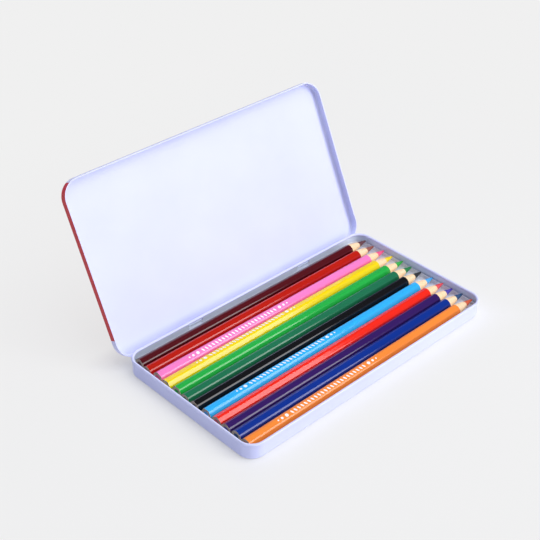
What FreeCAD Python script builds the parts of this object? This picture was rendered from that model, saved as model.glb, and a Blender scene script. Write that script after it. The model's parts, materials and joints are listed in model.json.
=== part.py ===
import FreeCAD, Part
import math
import os
import Sketcher

doc = FreeCAD.newDocument("pencil_tin")
sheet = doc.addObject("Spreadsheet::Sheet", "Sizes")

# Named sizes in millimetres. The tin is drawn around its pencils, so its length, width and
# height follow from the pencils and the room left beside them.
sizes = {
    "pencil_long": 176.0,
    "pencil_flat": 6.6,
    "pencil_edge": 1.8,
    "core_thick": 3.7,
    "cone_long": 14.0,
    "tip_thick": 1.0,
    "pencil_gap": 0.25,
    "stagger": 1.4,
    "tip_room": 0.2,
    "end_room": 1.4,
    "side_room": 2.57,
    "seat_gap": 0.05,
    "rim_room": 0.33,
    "tin_sheet": 0.3,
    "rim_curl": 1.6,
    "rim_out": 0.5,
    "base_corner": 8.5,
    "base_bend": 1.5,
    "platform_tall": 2.8,
    "liner_sheet": 0.5,
    "liner_lip": 2.3,
    "lip_thick": 0.7,
    "liner_gap": 0.3,
    "rib_thick": 0.8,
    "rib_inset": 6.0,
    "pin_thick": 0.9,
    "pin_run": 0.06,
    "knuckle_long": 10.0,
    "knuckle_ear": 5.0,
    "knuckle_side": 0.4,
    "knuckle_room": 0.25,
    "hinge_reach": 42.0,
    "hinge_rise": 0.47,
    "stop_room": 0.04,
    "stop_thick": 0.4,
    "window_room": 0.5,
    "lid_gap": 1.3,
    "lid_rest": 0.45,
    "lid_deep": 4.7,
    "lid_bend": 1.5,
    "hem_tall": 1.2,
    "hem_back": 12.0,
    "overrun": 2.0,
}
for row, (alias, value) in enumerate(sizes.items(), 1):
    sheet.set("A%d" % row, alias)
    sheet.set("B%d" % row, str(value))
    sheet.setAlias("B%d" % row, alias)
doc.recompute()

# The lid stands open in the photograph by this many degrees from closed.
open_angle = 115.76
# The hinge tongue leaves the wall at this slope and then curls round the pin.
tongue_angle = 37.0
curl_angle = 245.0
lid_curl_angle = 250.0

# Pencils from the back row to the front: name, turn of the upper flat from the front in degrees,
# share of the stagger at the tip, and the gap to the pencil behind in shares of the pencil gap.
pencil_shares = [
    ("maroon", 63.0, 0.14, 0.00),
    ("scarlet", 70.5, 0.86, 2.50),
    ("pink", 70.5, 0.07, 2.60),
    ("yellow", 98.0, 0.64, 1.87),
    ("green", 89.0, 0.0, 2.07),
    ("bottle_green", 77.0, 0.71, 2.01),
    ("black", 73.5, 0.71, 1.84),
    ("sky_blue", 92.0, 0.14, 5.02),
    ("red", 114.0, 0.29, 3.79),
    ("purple", 65.5, 0.43, 1.38),
    ("navy", 64.0, 0.14, 1.60),
    ("orange", 77.0, 0.4, 1.59),
]

corner_share = 1.0 / math.sqrt(3.0)
cut_share = 1.25


def size(name):
    return float(sheet.get(name))


def number(shares):
    """The value of a length that is given as shares of named sizes."""
    return sum(share * size(name) for name, share in shares.items())


def words(shares):
    """The expression of a length that is given as shares of named sizes."""
    if not shares:
        return "0"
    return " + ".join("(%.9f) * Sizes.%s" % (share, name) for name, share in shares.items())


def add(*terms):
    """The sum of several lengths; a pair of a length and a factor scales that length."""
    out = {}
    for term in terms:
        shares, factor = term if isinstance(term, tuple) else (term, 1.0)
        for name, share in shares.items():
            out[name] = out.get(name, 0.0) + factor * share
    return out


def of(name, share=1.0):
    return {name: share}


def reach(turn, direction):
    """Half the width of a rounded hexagon, turned by one angle, seen along another."""
    off = (direction - turn - 30.0) % 60.0
    off = math.radians(min(off, 60.0 - off))
    flat = corner_share * math.cos(off)
    return {"pencil_flat": flat, "pencil_edge": 1.0 - 2.0 * flat}


# Lengths that follow from the named sizes.
tallest = add((reach(0.0, 30.0), 2.0))
row = {}
centres = []
for name, turn, ahead, gap in pencil_shares:
    row = add(row, of("pencil_gap", gap), reach(turn, 0.0))
    centres.append(row)
    row = add(row, reach(turn, 0.0))
rim_in = add(of("rim_curl"), of("rim_out", -1.0))
half_wide = add((row, 0.5), of("side_room"), rim_in)
half_long = add(of("pencil_long", 0.5), of("stagger", 0.5), of("tip_room", 0.5),
                of("end_room", 0.5), rim_in)
base_tall = add(of("platform_tall"), of("seat_gap"), tallest, of("rim_room"))
wall_tall = add(base_tall, of("rim_curl", -0.5))
pin_half = of("pin_thick", 0.5)
run_half = add(pin_half, of("pin_run"))
lid_skin = add(of("lid_gap"), of("tin_sheet", 2.0))
lid_half_long = add(half_long, lid_skin)
lid_corner = add(of("base_corner"), lid_skin)
hinge_y = add(half_wide, of("knuckle_room"), pin_half, of("tin_sheet"))
hinge_z = add(base_tall, of("lid_rest"), of("lid_deep", -1.0), of("hinge_rise"))
lid_front = add(hinge_y, half_wide, lid_skin)
lid_back = add(pin_half, of("tin_sheet"))
lid_mouth = of("hinge_rise", -1.0)
lid_ceiling = add(of("lid_deep"), lid_mouth)
lid_top = add(lid_ceiling, of("tin_sheet"))
slope = math.radians(tongue_angle)
curl_middle = add(run_half, of("tin_sheet", 0.5))
tongue_out = add(of("knuckle_room"), pin_half, of("tin_sheet", 1.5))
tongue_long = add((tongue_out, 1.0 / math.cos(slope)), (curl_middle, math.tan(slope)))
slot_low = add(hinge_z, (curl_middle, -math.cos(slope)), (tongue_long, -math.sin(slope)))
slot_top = add(base_tall, of("rim_curl", -1.0), of("tin_sheet", -1.0))
ear_in = add(of("knuckle_long", 0.5), of("knuckle_side"))
ear_out = add(ear_in, of("knuckle_ear"))
window_tall = add(run_half, of("tin_sheet"), of("window_room"))


def drive(sketch, index, shares):
    sketch.setExpression("Constraints[%d]" % index, words(shares))


def pin_point(sketch, geo, pos, x, y):
    """Hold a point at a place given by two lengths from the sketch's origin."""
    for kind, axis, shares in (("DistanceX", -2, x), ("DistanceY", -1, y)):
        if not shares:
            sketch.addConstraint(Sketcher.Constraint("PointOnObject", geo, pos, axis))
            continue
        value = number(shares)
        if value < 0:
            index = sketch.addConstraint(Sketcher.Constraint(kind, geo, pos, -1, 1, -value))
            drive(sketch, index, add((shares, -1.0)))
        else:
            index = sketch.addConstraint(Sketcher.Constraint(kind, -1, 1, geo, pos, value))
            drive(sketch, index, shares)


def vector(x, y):
    return FreeCAD.Vector(number(x), number(y), 0)


def polygon(sketch, points):
    """A closed outline through points that are each held by their own lengths."""
    first = sketch.GeometryCount
    count = len(points)
    for i in range(count):
        line = Part.LineSegment(vector(*points[i]), vector(*points[(i + 1) % count]))
        sketch.addGeometry(line, False)
    for i in range(count):
        here, after = first + i, first + (i + 1) % count
        sketch.addConstraint(Sketcher.Constraint("Coincident", here, 2, after, 1))
    for i in range(count):
        pin_point(sketch, first + i, 1, *points[i])


def rectangle(sketch, left, right, low, high):
    polygon(sketch, [(left, low), (right, low), (right, high), (left, high)])


def circle(sketch, x, y, radius):
    ring = Part.Circle(vector(x, y), FreeCAD.Vector(0, 0, 1), number(radius))
    geo = sketch.addGeometry(ring, False)
    pin_point(sketch, geo, 3, x, y)
    index = sketch.addConstraint(Sketcher.Constraint("Radius", geo, number(radius)))
    drive(sketch, index, radius)


def rounded(sketch, half, low, high, radius, round_low=True):
    """A rectangle with round corners, even about the Y axis; the low pair may stay square."""
    left = add((half, -1.0))
    inner_left = add(left, radius)
    inner_right = add(half, (radius, -1.0))
    top = add(high, (radius, -1.0))
    bottom = add(low, radius) if round_low else low
    ends = [((half, bottom), (half, top)),
            ((inner_right, high), (inner_left, high)),
            ((left, top), (left, bottom))]
    if round_low:
        ends.append(((inner_left, low), (inner_right, low)))
    else:
        ends.append(((left, low), (half, low)))
    lines = []
    for start, stop in ends:
        lines.append(sketch.addGeometry(Part.LineSegment(vector(*start), vector(*stop)), False))
    corners = [((inner_right, top), 0.0, 0, 1), ((inner_left, top), 90.0, 1, 2)]
    if round_low:
        corners += [((inner_left, bottom), 180.0, 2, 3), ((inner_right, bottom), 270.0, 3, 0)]
    for centre, start, before, after in corners:
        ring = Part.Circle(vector(*centre), FreeCAD.Vector(0, 0, 1), number(radius))
        arc = Part.ArcOfCircle(ring, math.radians(start), math.radians(start + 90.0))
        geo = sketch.addGeometry(arc, False)
        sketch.addConstraint(Sketcher.Constraint("Tangent", lines[before], 2, geo, 1))
        sketch.addConstraint(Sketcher.Constraint("Tangent", geo, 2, lines[after], 1))
        index = sketch.addConstraint(Sketcher.Constraint("Radius", geo, number(radius)))
        drive(sketch, index, radius)
    if not round_low:
        sketch.addConstraint(Sketcher.Constraint("Coincident", lines[2], 2, lines[3], 1))
        sketch.addConstraint(Sketcher.Constraint("Coincident", lines[3], 2, lines[0], 1))
    sketch.addConstraint(Sketcher.Constraint("Vertical", lines[0]))
    sketch.addConstraint(Sketcher.Constraint("Horizontal", lines[1]))
    sketch.addConstraint(Sketcher.Constraint("Vertical", lines[2]))
    sketch.addConstraint(Sketcher.Constraint("Horizontal", lines[3]))
    for line, kind, shares in ((0, "DistanceX", half), (1, "DistanceY", high),
                               (2, "DistanceX", left), (3, "DistanceY", low)):
        value = number(shares)
        if value < 0:
            held = Sketcher.Constraint(kind, lines[line], 1, -1, 1, -value)
            shares = add((shares, -1.0))
        else:
            held = Sketcher.Constraint(kind, -1, 1, lines[line], 1, value)
        drive(sketch, sketch.addConstraint(held), shares)


def new_body(label):
    body = doc.addObject("PartDesign::Body", label)
    body.Label = label
    return body


def new_sketch(body, role, shift=None, turn=None):
    """A sketch on one of the body's own planes, moved by lengths and turned about its X axis."""
    plane = [o for o in body.Origin.OriginFeatures if o.Role == role][0]
    sketch = body.newObject("Sketcher::SketchObject", body.Name + "_sketch")
    sketch.AttachmentSupport = [(plane, "")]
    sketch.MapMode = "FlatFace"
    if turn is not None:
        spin = FreeCAD.Rotation(FreeCAD.Vector(1, 0, 0), turn)
        sketch.AttachmentOffset = FreeCAD.Placement(FreeCAD.Vector(0, 0, 0), spin)
    for letter, shares in (shift or {}).items():
        sketch.setExpression("AttachmentOffset.Base." + letter, words(shares))
    return sketch


def feature(body, kind, sketch, length=None, reverse=False, middle=False):
    item = body.newObject("PartDesign::" + kind, body.Name + "_" + kind.lower())
    item.Profile = sketch
    item.Reversed = reverse
    if middle:
        item.Midplane = True
    if length is not None:
        item.setExpression("Length", words(length))
    sketch.Visibility = False
    doc.recompute()
    return item


def turned(body, kind, sketch, angle, reverse=False):
    item = body.newObject("PartDesign::" + kind, body.Name + "_" + kind.lower())
    item.Profile = sketch
    item.ReferenceAxis = (sketch, ["H_Axis"])
    item.Angle = angle
    item.Reversed = reverse
    doc.recompute()
    return item


def round_edges(body, radius, wanted):
    """Round the edges of the body's last feature that a test picks."""
    tip = body.Tip
    names = ["Edge%d" % (i + 1) for i, edge in enumerate(tip.Shape.Edges) if wanted(edge)]
    item = body.newObject("PartDesign::Fillet", body.Name + "_fillet")
    item.Base = (tip, names)
    item.setExpression("Radius", words(radius))
    doc.recompute()
    return item


def level(height):
    """A test for edges that lie flat at one height."""
    near = size("tin_sheet") * 0.01

    def wanted(edge):
        box = edge.BoundBox
        return abs(box.ZMin - height) < near and abs(box.ZMax - height) < near
    return wanted


def place(body, x, y, z, turn=0.0):
    spin = FreeCAD.Rotation(FreeCAD.Vector(1, 0, 0), turn)
    body.Placement = FreeCAD.Placement(FreeCAD.Vector(0, 0, 0), spin)
    for letter, shares in (("x", x), ("y", y), ("z", z)):
        if shares:
            body.setExpression("Placement.Base." + letter, words(shares))


def both(shares):
    """Two lengths to the left and right of the middle."""
    return [add((shares, -1.0)), shares]


# Base tray: a drawn tinplate pan with a rolled rim and two hinge tongues on its back wall.
base = new_body("base_tray")
outline = new_sketch(base, "XY_Plane")
rounded(outline, half_long, add((half_wide, -1.0)), half_wide, of("base_corner"))
feature(base, "Pad", outline, wall_tall)
hollow = new_sketch(base, "XY_Plane", {"z": of("tin_sheet")})
inside_long = add(half_long, of("tin_sheet", -1.0))
inside_wide = add(half_wide, of("tin_sheet", -1.0))
inside_corner = add(of("base_corner"), of("tin_sheet", -1.0))
rounded(hollow, inside_long, add((inside_wide, -1.0)), inside_wide, inside_corner)
feature(base, "Pocket", hollow, base_tall, reverse=True)
round_edges(base, add(of("base_bend"), of("tin_sheet", -1.0)), level(size("tin_sheet")))
round_edges(base, of("base_bend"), level(0.0))
path = new_sketch(base, "XY_Plane", {"z": wall_tall})
path_in = add(of("rim_out"), of("rim_curl", -0.5))
path_long = add(half_long, path_in)
path_wide = add(half_wide, path_in)
path_corner = add(of("base_corner"), path_in)
rounded(path, path_long, add((path_wide, -1.0)), path_wide, path_corner)
bead = new_sketch(base, "XZ_Plane", {"z": add(path_wide, (path_corner, -1.0))})
circle(bead, path_long, wall_tall, of("rim_curl", 0.5))
doc.recompute()
rim = base.newObject("PartDesign::AdditivePipe", "base_rim")
rim.Profile = bead
rim.Spine = (path, [])
doc.recompute()
slots = new_sketch(base, "XZ_Plane", {"z": add((half_wide, -1.0), of("overrun", -1.0))})
tongues = new_sketch(base, "XY_Plane", {"y": hinge_y, "z": hinge_z}, tongue_angle - 90.0)
for middle in both(of("hinge_reach")):
    left = add(middle, of("knuckle_long", -0.5))
    right = add(middle, of("knuckle_long", 0.5))
    rectangle(slots, left, right, slot_low, slot_top)
    rectangle(tongues, left, right, run_half, add(run_half, of("tin_sheet")))
feature(base, "Pocket", slots, add(of("overrun"), of("tin_sheet", 2.0)), reverse=True)
feature(base, "Pad", tongues, tongue_long, reverse=True)
turned(base, "Revolution", tongues, curl_angle)
place(base, {}, {}, {})

# Lid: a drawn tinplate cover, hemmed at its mouth, whose back edge curls round the hinge pins.
# It is drawn closed, with the hinge axis at its origin, and then swung open.
lid = new_body("lid")
outline = new_sketch(lid, "XY_Plane", {"z": lid_mouth})
rounded(outline, lid_half_long, add((lid_front, -1.0)), lid_back, lid_corner)
feature(lid, "Pad", outline, add(lid_top, (lid_mouth, -1.0)))
hem_half = add(lid_half_long, of("tin_sheet", -2.0))
hem_front = add(of("tin_sheet", 2.0), (lid_front, -1.0))
hem_corner = add(lid_corner, of("tin_sheet", -2.0))
mouth = new_sketch(lid, "XY_Plane", {"z": lid_mouth})
rounded(mouth, hem_half, hem_front, add(lid_back, of("tin_sheet", -2.0)), hem_corner)
feature(lid, "Pocket", mouth, add(of("hem_tall")), reverse=True)
skin_half = add(lid_half_long, of("tin_sheet", -1.0))
skin_front = add(of("tin_sheet"), (lid_front, -1.0))
skin_corner = add(lid_corner, of("tin_sheet", -1.0))
cave = new_sketch(lid, "XY_Plane", {"z": add(lid_mouth, of("hem_tall"))})
rounded(cave, skin_half, skin_front, pin_half, skin_corner)
feature(lid, "Pocket", cave, add(of("lid_deep"), of("hem_tall", -1.0)), reverse=True)
round_edges(lid, add(of("lid_bend"), of("tin_sheet", -1.0)), level(number(lid_ceiling)))
round_edges(lid, of("lid_bend"), level(number(lid_top)))
back = new_sketch(lid, "XY_Plane", {"z": lid_mouth})
rounded(back, skin_half, of("hem_back", -1.0), pin_half, skin_corner, round_low=False)
feature(lid, "Pocket", back, of("hem_tall"), reverse=True)
gaps = new_sketch(lid, "XZ_Plane", {"z": of("overrun", -1.0)})
windows = new_sketch(lid, "XZ_Plane", {"z": of("overrun", -1.0)})
curls = new_sketch(lid, "XY_Plane")
stops = new_sketch(lid, "XY_Plane", None, open_angle - 180.0)
side_gap = add(ear_out, of("knuckle_side"))
below = add(lid_mouth, of("overrun", -1.0))
stop_out = add(pin_half, of("tin_sheet"), of("knuckle_room"), of("stop_room", -1.0))
for middle in both(of("hinge_reach")):
    rectangle(gaps, add(middle, (side_gap, -1.0)), add(middle, side_gap), below, {})
    rectangle(windows, add(middle, (ear_in, -1.0)), add(middle, ear_in), below, window_tall)
    for left, right in (((ear_out, -1.0), (ear_in, -1.0)), ((ear_in, 1.0), (ear_out, 1.0))):
        rectangle(curls, add(middle, left), add(middle, right), pin_half, lid_back)
        rectangle(stops, add(middle, left), add(middle, right), add(pin_half, of("tin_sheet", 0.5)),
                  stop_out)
cut = add(of("overrun"), of("tin_sheet", -0.5))
feature(lid, "Pocket", gaps, cut, reverse=True)
feature(lid, "Pocket", windows, cut, reverse=True)
turned(lid, "Revolution", curls, lid_curl_angle, reverse=True)
feature(lid, "Pad", stops, of("stop_thick"), middle=True)
place(lid, {}, hinge_y, hinge_z, -open_angle)

# Hinge pins: two short steel wires, tight in the lid's ears and loose in the base's tongues.
for side, middle in zip(("left", "right"), both(of("hinge_reach"))):
    pin = new_body("hinge_pin_" + side)
    outline = new_sketch(pin, "YZ_Plane")
    circle(outline, {}, {}, pin_half)
    feature(pin, "Pad", outline, add((ear_out, 2.0)), middle=True)
    place(pin, middle, hinge_y, hinge_z)

# Liner: a moulded plastic platform with a low lip, standing on ribs inside the base tray.
liner = new_body("tray_liner")
liner_long = add(inside_long, of("liner_gap", -1.0))
liner_wide = add(inside_wide, of("liner_gap", -1.0))
liner_corner = add(inside_corner, of("liner_gap", -1.0))
plate_low = add(of("platform_tall"), of("liner_sheet", -1.0))
outline = new_sketch(liner, "XY_Plane", {"z": plate_low})
rounded(outline, liner_long, add((liner_wide, -1.0)), liner_wide, liner_corner)
feature(liner, "Pad", outline, add(of("liner_sheet"), of("liner_lip")))
lip = new_sketch(liner, "XY_Plane", {"z": of("platform_tall")})
lip_long = add(liner_long, of("lip_thick", -1.0))
lip_wide = add(liner_wide, of("lip_thick", -1.0))
lip_corner = add(liner_corner, of("lip_thick", -2.2))
rounded(lip, lip_long, add((lip_wide, -1.0)), lip_wide, lip_corner)
feature(liner, "Pocket", lip, add(of("liner_lip"), of("overrun")), reverse=True)
ribs = new_sketch(liner, "XY_Plane", {"z": of("tin_sheet")})
rib_end = add(liner_long, of("rib_inset", -1.0))
rib_row = add(liner_wide, of("rib_inset", -1.0))
rib_shares = (-1.0, -0.333, 0.333, 1.0)
for share in rib_shares:
    low = add((rib_row, share), of("rib_thick", -0.5))
    rectangle(ribs, add((rib_end, -1.0)), rib_end, low, add(low, of("rib_thick")))
feature(liner, "Pad", ribs, add(plate_low, of("tin_sheet", -1.0)))
place(liner, {}, {}, {})


def sharpen(body):
    """Cut the end of a pencil piece to the sharpener's cone."""
    flat = of("pencil_flat", 0.5)
    tip = of("tip_thick", 0.5)
    start = add(of("pencil_long"), of("cone_long", -cut_share))
    wide = add((flat, cut_share), (tip, 1.0 - cut_share))
    end = add(of("pencil_long"), of("overrun"))
    cone = new_sketch(body, "XY_Plane")
    polygon(cone, [(of("pencil_long"), tip), (start, wide), (end, wide), (end, tip)])
    turned(body, "Groove", cone, 360.0)


def slat(label):
    """Half of a pencil's wooden casing: three flats, half of the core's channel, and the cone."""
    body = new_body(label)
    flat = of("pencil_flat", 0.5)
    corner = of("pencil_flat", corner_share)
    middle = of("pencil_flat", 0.5 * corner_share)
    prism = new_sketch(body, "YZ_Plane")
    polygon(prism, [(corner, {}), (middle, flat), (add((middle, -1.0)), flat), (add((corner, -1.0)), {}),
                    (add((middle, -1.0)), add((flat, -1.0))), (middle, add((flat, -1.0)))])
    feature(body, "Pad", prism, of("pencil_long"))
    round_edges(body, of("pencil_edge"), lambda edge: edge.BoundBox.XLength > size("cone_long"))
    channel = new_sketch(body, "YZ_Plane")
    circle(channel, {}, {}, of("core_thick", 0.5))
    feature(body, "Pocket", channel, of("pencil_long"), reverse=True)
    half = new_sketch(body, "YZ_Plane")
    rectangle(half, of("pencil_flat", -1.0), of("pencil_flat"), of("pencil_flat", -1.0), {})
    feature(body, "Pocket", half, of("pencil_long"), reverse=True)
    sharpen(body)
    return body


def core(label):
    """The coloured core, which fills the channel and ends in the point."""
    body = new_body(label)
    outline = new_sketch(body, "YZ_Plane")
    circle(outline, {}, {}, of("core_thick", 0.5))
    feature(body, "Pad", outline, of("pencil_long"))
    sharpen(body)
    return body


# Pencils: two glued slats and a core each, laid side by side on the liner.
tip_line = add(half_long, (rim_in, -1.0), of("tip_room", -1.0), of("pencil_long", -1.0))
back_line = add((row, 0.5))
for (name, turn, ahead, gap), centre in zip(pencil_shares, centres):
    x = add(tip_line, of("stagger", -ahead))
    y = add(back_line, (centre, -1.0))
    z = add(of("platform_tall"), of("seat_gap"), reach(turn, 90.0))
    place(slat(name + "_pencil_upper_slat"), x, y, z, 90.0 - turn)
    place(slat(name + "_pencil_lower_slat"), x, y, z, 270.0 - turn)
    place(core(name + "_pencil_core"), x, y, z, 90.0 - turn)

doc.recompute()

os.makedirs("parts", exist_ok=True)
for item in doc.Objects:
    if "Invalid" in item.State or "Error" in item.State:
        raise RuntimeError("not built: " + item.Label)
for body in doc.findObjects("PartDesign::Body"):
    shape = body.Shape
    if shape.isNull() or not shape.isValid() or len(shape.Solids) != 1:
        raise RuntimeError("not one sound solid: " + body.Label)
    shape.exportStep("parts/" + body.Label + ".step")
    print("%-28s %10.2f mm3" % (body.Label, shape.Volume), shape.BoundBox)
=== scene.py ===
import json
import math

import bpy
from mathutils import Matrix, Vector


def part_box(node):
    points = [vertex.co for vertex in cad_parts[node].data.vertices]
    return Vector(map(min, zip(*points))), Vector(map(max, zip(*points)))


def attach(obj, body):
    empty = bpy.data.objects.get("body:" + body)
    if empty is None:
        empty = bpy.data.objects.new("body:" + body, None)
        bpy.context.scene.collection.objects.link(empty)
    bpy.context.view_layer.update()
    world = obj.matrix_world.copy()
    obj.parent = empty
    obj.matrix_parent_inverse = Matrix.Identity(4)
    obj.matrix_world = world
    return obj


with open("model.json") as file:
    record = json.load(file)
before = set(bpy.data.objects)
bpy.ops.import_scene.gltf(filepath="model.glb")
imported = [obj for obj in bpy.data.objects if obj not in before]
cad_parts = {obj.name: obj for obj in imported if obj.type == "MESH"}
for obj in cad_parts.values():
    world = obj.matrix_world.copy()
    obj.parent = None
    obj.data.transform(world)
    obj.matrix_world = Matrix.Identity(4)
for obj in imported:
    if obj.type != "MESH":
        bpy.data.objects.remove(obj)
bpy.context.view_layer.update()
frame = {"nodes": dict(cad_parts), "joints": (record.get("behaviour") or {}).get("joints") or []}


# Base tray: a pan drawn from thin tinplate, with its rim rolled inwards and two hinge tongues
# lanced from the back wall. It is lacquered a pale lavender, and the roller leaves a faint
# orange-peel skin that softens every reflection.
def linear(code):
    """A colour written as an sRGB hex code, in the linear values that shaders take."""
    parts = [int(code[i:i + 2], 16) / 255 for i in (1, 3, 5)]
    return [c / 12.92 if c <= 0.04045 else ((c + 0.055) / 1.055) ** 2.4 for c in parts] + [1.0]


def node(tree, kind, inputs, **settings):
    """Add a shader node, give it its settings, and link or set its inputs."""
    made = tree.nodes.new("ShaderNode" + kind)
    for name, value in settings.items():
        setattr(made, name, value)
    for name, value in inputs.items():
        if isinstance(value, bpy.types.NodeSocket):
            tree.links.new(value, made.inputs[name])
        else:
            made.inputs[name].default_value = value
    return made


def start_material(name):
    """A new material with one principled shader, and where the shaded point is in the piece."""
    made = bpy.data.materials.new(name)
    made.use_nodes = True
    tree = made.node_tree
    shader = tree.nodes["Principled BSDF"]
    place = node(tree, "TexCoord", {})
    return made, tree, shader, place


def dress(name, material):
    """Give a carried-over node its finish."""
    for slot in frame["nodes"][name].material_slots:
        slot.material = material


# Roller-coated lacquer on tinplate: a satin shine, broken by orange peel about 0.8 mm across. The
# tone drifts over some 40 mm where the coat lies thicker. Inside, below the rim, the walls are
# painted paler and bluer: painted light that lifts the shade on the inner walls.
peel_mm, drift_mm = 0.8, 40.0
peel_deep, rim_foot = 0.0001, 0.0087
lavender_lacquer, tree, shader, place = start_material("lavender_lacquer_on_tinplate")
peel = node(tree, "TexNoise", {"Vector": place.outputs["Object"], "Scale": 1000 / peel_mm,
                               "Detail": 2.0})
drift = node(tree, "TexNoise", {"Vector": place.outputs["Object"], "Scale": 1000 / drift_mm,
                                "Detail": 3.0})
tone = node(tree, "ValToRGB", {"Fac": drift.outputs["Fac"]})
deep, pale = tone.color_ramp.elements
deep.position, deep.color = 0.3, linear("#D6DAFD")
pale.position, pale.color = 0.7, linear("#DCE0FF")
facing = node(tree, "VectorMath", {0: place.outputs["Object"], 1: place.outputs["Normal"]},
              operation="DOT_PRODUCT")
inward = node(tree, "Math", {0: facing.outputs["Value"], 1: 0.0}, operation="LESS_THAN")
spot = node(tree, "SeparateXYZ", {"Vector": place.outputs["Object"]})
below = node(tree, "Math", {0: spot.outputs["Z"], 1: rim_foot}, operation="LESS_THAN")
painted_light_inner_walls = node(tree, "Math", {0: inward.outputs["Value"], 1: below.outputs["Value"]},
              operation="MULTIPLY")
# Painted light: faces turned inwards below the rim take a paler, bluer coat that lifts their shade.
coat = node(tree, "Mix", {"Factor": painted_light_inner_walls.outputs["Value"], "A": tone.outputs["Color"],
                          "B": linear("#E2EDFF")}, data_type="RGBA")
rough = node(tree, "MapRange", {"Value": peel.outputs["Fac"], "To Min": 0.26, "To Max": 0.38})
skin = node(tree, "Bump", {"Height": peel.outputs["Fac"], "Strength": 0.12, "Distance": peel_deep})
tree.links.new(coat.outputs["Result"], shader.inputs["Base Color"])
tree.links.new(rough.outputs["Result"], shader.inputs["Roughness"])
tree.links.new(skin.outputs["Normal"], shader.inputs["Normal"])
shader.inputs["IOR"].default_value = 1.5
dress("base_tray", lavender_lacquer)

# Liner: a thin moulded platform that carries the pencils, with a raised lip round its edge and ribs
# below. It is polystyrene, and the mould leaves a faint frost that turns its shine satin. The frost
# is drawn coarser than it is, so that it shows.
frost_mm, frost_deep = 0.5, 0.0001
satin_sheet, tree, shader, place = start_material("satin_polystyrene_sheet")
frost = node(tree, "TexNoise", {"Vector": place.outputs["Object"], "Scale": 1000 / frost_mm,
                                "Detail": 3.0})
shade = node(tree, "ValToRGB", {"Fac": frost.outputs["Fac"]})
deep, pale = shade.color_ramp.elements
deep.position, deep.color = 0.25, linear("#EDF0FB")
pale.position, pale.color = 0.75, linear("#F6F8FF")
rough = node(tree, "MapRange", {"Value": frost.outputs["Fac"], "To Min": 0.34, "To Max": 0.5})
skin = node(tree, "Bump", {"Height": frost.outputs["Fac"], "Strength": 0.15,
                           "Distance": frost_deep})
tree.links.new(shade.outputs["Color"], shader.inputs["Base Color"])
tree.links.new(rough.outputs["Result"], shader.inputs["Roughness"])
tree.links.new(skin.outputs["Normal"], shader.inputs["Normal"])
shader.inputs["IOR"].default_value = 1.59
dress("tray_liner", satin_sheet)

# Hinge pins: two short lengths of drawn steel wire, held in the lid's curled ears.
# Drawing leaves fine scratches along the wire, so the shine runs in streaks.
scratch_mm, scratch_stretch = 0.06, 0.02
drawn_wire, tree, shader, place = start_material("bright_drawn_steel_wire")
along = node(tree, "Mapping", {"Vector": place.outputs["Object"],
                               "Scale": (scratch_stretch, 1.0, 1.0)})
streak = node(tree, "TexNoise", {"Vector": along.outputs["Vector"], "Scale": 1000 / scratch_mm,
                                 "Detail": 2.0})
rough = node(tree, "MapRange", {"Value": streak.outputs["Fac"], "To Min": 0.2, "To Max": 0.45})
steel = node(tree, "ValToRGB", {"Fac": streak.outputs["Fac"]})
deep, pale = steel.color_ramp.elements
deep.color, pale.color = linear("#8E9196"), linear("#B9BCC2")
tree.links.new(steel.outputs["Color"], shader.inputs["Base Color"])
tree.links.new(rough.outputs["Result"], shader.inputs["Roughness"])
shader.inputs["Metallic"].default_value = 1.0
dress("hinge_pin_left", drawn_wire)
dress("hinge_pin_right", drawn_wire)

# Lid: a shallow drawn cover with a hem at its mouth, standing open on its stop tabs. The sheet is
# lavender inside; outside it is printed red, apart from a bare margin along the hinge and the lip
# at its front.
joint = [j for j in frame["joints"] if j["name"] == "lid_hinge"][0]
hinge = Vector(joint["pos_m"])
opened = math.radians(115.76)
up_lid = Vector((0, -math.cos(opened), math.sin(opened)))
out_lid = Vector((0, math.sin(opened), math.cos(opened)))
dish_half, dish_mid = 0.050, 0.0015
heart = hinge + dish_half * up_lid + dish_mid * out_lid

# Red ink over the same lacquer: an even, deep red with a satin peel. It lies on the faces that look
# away from the heart of the dish, above the margin, and not on the raw edge or the front lip. The
# lip ends where the corner has turned sideways, so the limit there grows with that turn.
bare_margin, raw_edge_turn, lip_turn, corner_turn = 0.012, -0.4, 0.3, 1.3
lid_lacquer, tree, shader, place = start_material("red_print_on_lavender_lacquer")
peel = node(tree, "TexNoise", {"Vector": place.outputs["Object"], "Scale": 1000 / peel_mm,
                               "Detail": 2.0})
drift = node(tree, "TexNoise", {"Vector": place.outputs["Object"], "Scale": 1000 / drift_mm,
                                "Detail": 3.0})
tone = node(tree, "ValToRGB", {"Fac": drift.outputs["Fac"]})
deep, pale = tone.color_ramp.elements
deep.position, deep.color = 0.3, linear("#DADEFE")
pale.position, pale.color = 0.7, linear("#DFE3FF")
red = node(tree, "ValToRGB", {"Fac": drift.outputs["Fac"]})
deep, pale = red.color_ramp.elements
deep.position, deep.color = 0.3, linear("#D21228")
pale.position, pale.color = 0.7, linear("#DA162C")
from_heart = node(tree, "VectorMath", {0: place.outputs["Object"], 1: heart}, operation="SUBTRACT")
facing = node(tree, "VectorMath", {0: from_heart.outputs["Vector"], 1: place.outputs["Normal"]},
              operation="DOT_PRODUCT")
outside = node(tree, "Math", {0: facing.outputs["Value"], 1: 0.0}, operation="GREATER_THAN")
rise = node(tree, "VectorMath", {0: place.outputs["Object"], 1: up_lid}, operation="DOT_PRODUCT")
printed = node(tree, "Math", {0: rise.outputs["Value"], 1: hinge.dot(up_lid) + bare_margin},
               operation="GREATER_THAN")
to_mouth = node(tree, "VectorMath", {0: place.outputs["Normal"], 1: out_lid},
                operation="DOT_PRODUCT")
not_edge = node(tree, "Math", {0: to_mouth.outputs["Value"], 1: raw_edge_turn},
                operation="GREATER_THAN")
to_front = node(tree, "VectorMath", {0: place.outputs["Normal"], 1: up_lid},
                operation="DOT_PRODUCT")
turn = node(tree, "SeparateXYZ", {"Vector": place.outputs["Normal"]})
sideways = node(tree, "Math", {0: turn.outputs["X"]}, operation="ABSOLUTE")
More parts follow.
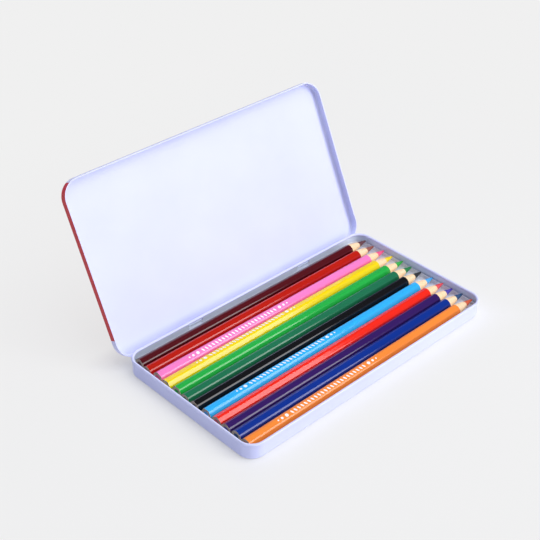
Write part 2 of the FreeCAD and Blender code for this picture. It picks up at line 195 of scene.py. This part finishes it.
limit = node(tree, "Math", {0: sideways.outputs["Value"], 1: corner_turn, 2: lip_turn},
             operation="MULTIPLY_ADD")
not_lip = node(tree, "Math", {0: to_front.outputs["Value"], 1: limit.outputs["Value"]},
               operation="LESS_THAN")
inked = outside
for part in (printed, not_edge, not_lip):
    inked = node(tree, "Math", {0: inked.outputs["Value"], 1: part.outputs["Value"]},
                 operation="MULTIPLY")
coat = node(tree, "Mix", {"Factor": inked.outputs["Value"], "A": tone.outputs["Color"],
                          "B": red.outputs["Color"]}, data_type="RGBA")
rough = node(tree, "MapRange", {"Value": peel.outputs["Fac"], "To Min": 0.28, "To Max": 0.4})
skin = node(tree, "Bump", {"Height": peel.outputs["Fac"], "Strength": 0.12, "Distance": peel_deep})
tree.links.new(coat.outputs["Result"], shader.inputs["Base Color"])
tree.links.new(rough.outputs["Result"], shader.inputs["Roughness"])
tree.links.new(skin.outputs["Normal"], shader.inputs["Normal"])
shader.inputs["IOR"].default_value = 1.5
shader.inputs["Specular IOR Level"].default_value = 0.3
dress("lid", lid_lacquer)

# Pencils: each is two grooved slats of light wood glued round a wax core, cut to a hexagon, dipped
# in gloss lacquer and sharpened, which bares the wood of the cone.
lacquers = {"maroon": "#55121A", "scarlet": "#BE1E10", "pink": "#FD84CA", "yellow": "#FDDB12",
            "green": "#27B648", "bottle_green": "#217550", "black": "#131316",
            "sky_blue": "#33B8FB", "red": "#FA2A19", "purple": "#361B60", "navy": "#0E3290",
            "orange": "#FD903C"}
waxes = {"maroon": "#6F454B", "scarlet": "#9F5A50", "pink": "#FF5F92", "yellow": "#FFE018",
         "green": "#33B548", "bottle_green": "#24854A", "black": "#2A2E30",
         "sky_blue": "#4FB4F7", "red": "#F0505A", "purple": "#4F3FB0", "navy": "#2F5580",
         "orange": "#E0603A"}
cone_long, fray_long, edge_long, saw_skin = 0.0144, 0.0003, 0.0001, 0.00003
grain_mm, pore_mm, run_mm, crumb_mm = 0.35, 0.25, 2.5, 0.25
grain_stretch, run_stretch = 0.06, 0.05
thin_share, scored_share = 0.94, 0.8
run_deep, score_deep = 0.0001, 0.0001
for name in lacquers:
    low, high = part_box(name + "_pencil_core")
    tip = Vector((high.x, (low.y + high.y) / 2, (low.z + high.z) / 2))
    length = high.x - low.x

    # Gloss lacquer over bare wood: the lacquer flows in long faint runs, and the wood shows its
    # grain on the cone and its pores on the sawn end. The pores are drawn coarser than they are,
    # so that they show.
    casing, tree, shader, place = start_material(name + "_gloss_lacquer_on_wood")
    from_tip = node(tree, "VectorMath", {0: place.outputs["Object"], 1: tip}, operation="SUBTRACT")
    back = node(tree, "SeparateXYZ", {"Vector": from_tip.outputs["Vector"]})
    fray = node(tree, "TexNoise", {"Vector": place.outputs["Object"], "Scale": 1000 / grain_mm,
                                   "Detail": 2.0})
    edge = node(tree, "Math", {0: fray.outputs["Fac"], 1: fray_long, 2: back.outputs["X"]},
                operation="MULTIPLY_ADD")
    shaved = node(tree, "MapRange", {"Value": edge.outputs["Value"], "From Min": -cone_long,
                                     "From Max": -cone_long + edge_long})
    sawn = node(tree, "MapRange", {"Value": back.outputs["X"], "From Min": -length + 2 * saw_skin,
                                   "From Max": -length + saw_skin})
    bare = node(tree, "Math", {0: shaved.outputs["Result"], 1: sawn.outputs["Result"]},
                operation="MAXIMUM")
    fibres = node(tree, "Mapping", {"Vector": place.outputs["Object"],
                                    "Scale": (grain_stretch, 1.0, 1.0)})
    grain = node(tree, "TexNoise", {"Vector": fibres.outputs["Vector"], "Scale": 1000 / grain_mm,
                                    "Detail": 4.0})
    wood = node(tree, "ValToRGB", {"Fac": grain.outputs["Fac"]})
    deep, pale = wood.color_ramp.elements
    deep.position, deep.color = 0.3, linear("#F2C997")
    pale.position, pale.color = 0.65, linear("#FFE2BC")
    pores = node(tree, "TexNoise", {"Vector": place.outputs["Object"], "Scale": 1000 / pore_mm,
                                    "Detail": 4.0})
    # The sawn end is greyer and darker than the cone: end grain, and painted shade on an end that
    # faces away from the light.
    end_grain_and_painted_shade = node(tree, "ValToRGB", {"Fac": pores.outputs["Fac"]})
    deep, pale = end_grain_and_painted_shade.color_ramp.elements
    deep.position, deep.color = 0.3, linear("#B7A38E")
    pale.position, pale.color = 0.7, linear("#DCCAB2")
    timber = node(tree, "Mix", {"Factor": sawn.outputs["Result"], "A": wood.outputs["Color"],
                                "B": end_grain_and_painted_shade.outputs["Color"]}, data_type="RGBA")
    flow = node(tree, "Mapping", {"Vector": place.outputs["Object"],
                                  "Scale": (run_stretch, 1.0, 1.0)})
    runs = node(tree, "TexNoise", {"Vector": flow.outputs["Vector"], "Scale": 1000 / run_mm,
                                   "Detail": 2.0})
    film = node(tree, "ValToRGB", {"Fac": runs.outputs["Fac"]})
    hue = linear(lacquers[name])
    deep, pale = film.color_ramp.elements
    deep.position, deep.color = 0.3, [c * thin_share for c in hue[:3]] + [1.0]
    pale.position, pale.color = 0.7, hue
    colour = node(tree, "Mix", {"Factor": bare.outputs["Value"], "A": film.outputs["Color"],
                                "B": timber.outputs["Result"]}, data_type="RGBA")
    gloss = node(tree, "MapRange", {"Value": runs.outputs["Fac"], "To Min": 0.07, "To Max": 0.12})
    rough = node(tree, "Mix", {"Factor": bare.outputs["Value"], "A": gloss.outputs["Result"],
                               "B": 0.75})
    height = node(tree, "Mix", {"Factor": bare.outputs["Value"], "A": runs.outputs["Fac"],
                                "B": grain.outputs["Fac"]})
    skin = node(tree, "Bump", {"Height": height.outputs["Result"], "Strength": 0.25,
                               "Distance": run_deep})
    tree.links.new(colour.outputs["Result"], shader.inputs["Base Color"])
    tree.links.new(rough.outputs["Result"], shader.inputs["Roughness"])
    tree.links.new(skin.outputs["Normal"], shader.inputs["Normal"])
    shader.inputs["IOR"].default_value = 1.52
    dress(name + "_pencil_upper_slat", casing)
    dress(name + "_pencil_lower_slat", casing)

    # Pressed wax and pigment: dull and a little crumbly, where the sharpener has scored the point.
    wax, tree, shader, place = start_material(name + "_pigmented_wax")
    crumbs = node(tree, "TexNoise", {"Vector": place.outputs["Object"], "Scale": 1000 / crumb_mm,
                                     "Detail": 3.0})
    mark = node(tree, "ValToRGB", {"Fac": crumbs.outputs["Fac"]})
    hue = linear(waxes[name])
    deep, pale = mark.color_ramp.elements
    deep.position, deep.color = 0.25, [c * scored_share for c in hue[:3]] + [1.0]
    pale.position, pale.color = 0.75, hue
    skin = node(tree, "Bump", {"Height": crumbs.outputs["Fac"], "Strength": 0.3,
                               "Distance": score_deep})
    tree.links.new(mark.outputs["Color"], shader.inputs["Base Color"])
    tree.links.new(skin.outputs["Normal"], shader.inputs["Normal"])
    shader.inputs["Roughness"].default_value = 0.5
    dress(name + "_pencil_core", wax)

# Stamped marks: four of the pencils carry a row of slanting beads, with three round dots that
# shrink towards each end, pressed on their upper flat from a white foil a few hundredths thick.
# Places along the pencil and half sizes are in millimetres, and the flat's turn in degrees.
upper_turns = {"pink": 70.5, "yellow": 98.0, "sky_blue": 92.0, "orange": 77.0}
flat_half, foil_sunk, foil_thick = 0.0033, 0.00004, 0.00002
left_dots = [(-66.0, 0.5), (-63.4, 0.75), (-60.2, 1.0)]
right_dots = [(0.0, 1.0), (3.2, 0.75), (5.8, 0.5)]
row_start, row_step, row_count = -56.5, 2.4, 23
bead_long, bead_wide, bead_sides, slant = 1.15, 0.5, 16, math.radians(62)
beads = [(x, radius, radius) for x, radius in left_dots]
beads += [(row_start + row_step * i, bead_long, bead_wide) for i in range(row_count)]
beads += [(x, radius, radius) for x, radius in right_dots]

# White stamping foil: chalky and matt, a shade greyer where handling has rubbed it.
wear_mm, wear_deep = 0.35, 0.00005
foil, tree, shader, place = start_material("white_stamping_foil")
worn = node(tree, "TexNoise", {"Vector": place.outputs["Object"], "Scale": 1000 / wear_mm,
                               "Detail": 3.0})
chalk = node(tree, "ValToRGB", {"Fac": worn.outputs["Fac"]})
deep, pale = chalk.color_ramp.elements
deep.position, deep.color = 0.3, linear("#F2F2F0")
pale.position, pale.color = 0.6, linear("#FFFFFF")
rough = node(tree, "MapRange", {"Value": worn.outputs["Fac"], "To Min": 0.3, "To Max": 0.5})
skin = node(tree, "Bump", {"Height": worn.outputs["Fac"], "Strength": 0.2, "Distance": wear_deep})
tree.links.new(chalk.outputs["Color"], shader.inputs["Base Color"])
tree.links.new(rough.outputs["Result"], shader.inputs["Roughness"])
tree.links.new(skin.outputs["Normal"], shader.inputs["Normal"])
for name, degrees in upper_turns.items():
    low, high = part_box(name + "_pencil_core")
    turn = math.radians(degrees)
    outward = Vector((0, -math.cos(turn), math.sin(turn)))
    across = Vector((0, -math.sin(turn), -math.cos(turn)))
    flat = Vector((0, (low.y + high.y) / 2, (low.z + high.z) / 2)) + flat_half * outward
    points, faces = [], []
    for x, half_long, half_wide in beads:
        lower = len(points)
        upper = lower + bead_sides
        for lift in (-foil_sunk, foil_thick):
            for i in range(bead_sides):
                u = half_long * math.cos(2 * math.pi * i / bead_sides)
                w = half_wide * math.sin(2 * math.pi * i / bead_sides)
                run = x + u * math.cos(slant) - w * math.sin(slant)
                side = u * math.sin(slant) + w * math.cos(slant)
                on_flat = flat + Vector((run / 1000, 0, 0)) + side / 1000 * across
                points.append(on_flat + lift * outward)
        faces.append([lower + i for i in reversed(range(bead_sides))])
        faces.append([upper + i for i in range(bead_sides)])
        for i in range(bead_sides):
            after = (i + 1) % bead_sides
            faces.append([lower + i, lower + after, upper + after, upper + i])
    mesh = bpy.data.meshes.new(name + "_stamped_beads")
    mesh.from_pydata(points, [], faces)
    mesh.materials.append(foil)
    marks = bpy.data.objects.new(name + "_stamped_beads", mesh)
    bpy.context.scene.collection.objects.link(marks)
    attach(marks, name + "_pencil")

# Photo table: a wide sheet of matt white paper under the case, far past the frame, so that no edge
# shows. To the eye and in reflections most of its tone is even, and the rest takes the shadow,
# which shows more within some 20 mm of the case's foot and is gone 250 mm out.
table_half = 10.0
even_share, foot_share, foot_reach, far_reach = 0.84, 0.45, 0.02, 0.25
mesh = bpy.data.meshes.new("paper_table")
mesh.from_pydata([(-table_half, -table_half, 0), (table_half, -table_half, 0),
                  (table_half, table_half, 0), (-table_half, table_half, 0)], [], [(0, 1, 2, 3)])
table = bpy.data.objects.new("paper_table", mesh)
bpy.context.scene.collection.objects.link(table)

# Uncoated paper: flat and without shine, with a faint cloud of fibres. The cloud is drawn coarser
# than real fibres, so that it shows.
fibre_mm = 2.5
paper, tree, shader, place = start_material("matt_white_paper")
fibre = node(tree, "TexNoise", {"Vector": place.outputs["Object"], "Scale": 1000 / fibre_mm,
                                "Detail": 3.0})
sheet = node(tree, "ValToRGB", {"Fac": fibre.outputs["Fac"]})
deep, pale = sheet.color_ramp.elements
deep.color, pale.color = linear("#EEEEEE"), linear("#F0F0F0")
tree.links.new(sheet.outputs["Color"], shader.inputs["Base Color"])
shader.inputs["Roughness"].default_value = 0.9
shader.inputs["Specular IOR Level"].default_value = 0.1
ray = node(tree, "LightPath", {})
seen = ray.outputs["Is Camera Ray"]
for other in ("Is Glossy Ray", "Is Transmission Ray"):
    either = node(tree, "Math", {0: seen, 1: ray.outputs[other]}, operation="MAXIMUM")
    seen = either.outputs["Value"]
_, case_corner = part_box("base_tray")
spot = node(tree, "SeparateXYZ", {"Vector": place.outputs["Object"]})
beyond = []
for axis, half in (("X", case_corner.x), ("Y", case_corner.y)):
    reach = node(tree, "Math", {0: spot.outputs[axis]}, operation="ABSOLUTE")
    past = node(tree, "Math", {0: reach.outputs["Value"], 1: half}, operation="SUBTRACT")
    beyond.append(past.outputs["Value"])
apart = node(tree, "Math", {0: beyond[0], 1: beyond[1]}, operation="MAXIMUM")
near = node(tree, "MapRange", {"Value": apart.outputs["Value"], "From Min": 0.0,
                               "From Max": foot_reach, "To Min": foot_share, "To Max": even_share})
far = node(tree, "MapRange", {"Value": apart.outputs["Value"], "From Min": foot_reach,
                              "From Max": far_reach, "To Min": 0.0, "To Max": 1 - even_share})
even = node(tree, "Math", {0: near.outputs["Result"], 1: far.outputs["Result"]}, operation="ADD")
share = node(tree, "Math", {0: seen, 1: even.outputs["Value"]}, operation="MULTIPLY")
glow = node(tree, "Emission", {"Color": linear("#F0F0F0")})
blend = node(tree, "MixShader", {"Fac": share.outputs["Value"], 1: shader.outputs["BSDF"],
                                 2: glow.outputs["Emission"]})
tree.links.new(blend.outputs["Shader"], tree.nodes["Material Output"].inputs["Surface"])
mesh.materials.append(paper)

# Studio light: a soft sky that darkens overhead, an even soft key from above with weak fills before
# and behind it, and a tall softbox that stands to the front right and leans over the table, so that
# its image lies along the front flats.
world = bpy.data.worlds.new("studio_sky")
bpy.context.scene.world = world
world.use_nodes = True
tree = world.node_tree
place = node(tree, "TexCoord", {})
climb = node(tree, "SeparateXYZ", {"Vector": place.outputs["Generated"]})
sky = node(tree, "ValToRGB", {"Fac": climb.outputs["Z"]})
horizon, overhead = sky.color_ramp.elements
horizon.position, horizon.color = 0.1, linear("#A2AADA")
overhead.position, overhead.color = 0.7, linear("#48494D")
tree.links.new(sky.outputs["Color"], tree.nodes["Background"].inputs["Color"])
for name, power, spread, source in (("soft_key", 1.5, 50, (0.14, -0.25, 0.95)),
                                    ("front_fill", 0.6, 50, (0.1, -0.8, 0.6)),
                                    ("back_fill", 0.4, 60, (0.2, 0.5, 0.84))):
    light = bpy.data.lights.new(name, "SUN")
    light.energy, light.angle = power, math.radians(spread)
    lamp = bpy.data.objects.new(name, light)
    bpy.context.scene.collection.objects.link(lamp)
    lamp.rotation_euler = Vector(source).to_track_quat("Z", "Y").to_euler()
    lamp.visible_glossy = False
softbox = bpy.data.lights.new("tall_softbox", "AREA")
softbox.shape = "RECTANGLE"
softbox.size, softbox.size_y = 0.22, 0.80
softbox.energy = 2.7
lamp = bpy.data.objects.new("tall_softbox", softbox)
bpy.context.scene.collection.objects.link(lamp)
foot, head = Vector((0.362, -0.780, 0.045)), Vector((0.362, -0.330, 0.715))
along = (head - foot).normalized()
toward = (foot + head) / 2
toward = (toward - toward.dot(along) * along).normalized()
lamp.matrix_world = Matrix.Translation((foot + head) / 2) @ Matrix(
    (along.cross(toward), along, toward)).transposed().to_4x4()

# Camera: a short telephoto at the front left, looking down on the open case. Its angle, distance
# and lens are those of the photograph, solved from the corners of the tray and the lid.
azimuth, elevation, roll = (math.radians(a) for a in (-44.489, 34.659, 1.162))
target, distance = Vector((0.010573, 0.044164, 0.020)), 0.662444
film_wide, focal_share = 36.0, 2.156
back = Vector((math.sin(azimuth) * math.cos(elevation), -math.cos(azimuth) * math.cos(elevation),
               math.sin(elevation)))
right = Vector((math.cos(azimuth), math.sin(azimuth), 0))
upward = back.cross(right)
right, upward = (right * math.cos(roll) + upward * math.sin(roll),
                 upward * math.cos(roll) - right * math.sin(roll))
lens = bpy.data.cameras.new("camera")
lens.sensor_width, lens.lens = film_wide, film_wide * focal_share
lens.clip_start, lens.clip_end = 0.01, 20.0
camera = bpy.data.objects.new("camera", lens)
bpy.context.scene.collection.objects.link(camera)
camera.matrix_world = Matrix.Translation(target + distance * back) @ Matrix(
    (right, upward, back)).transposed().to_4x4()
bpy.context.scene.camera = camera
bpy.context.scene.view_settings.view_transform = "Standard"
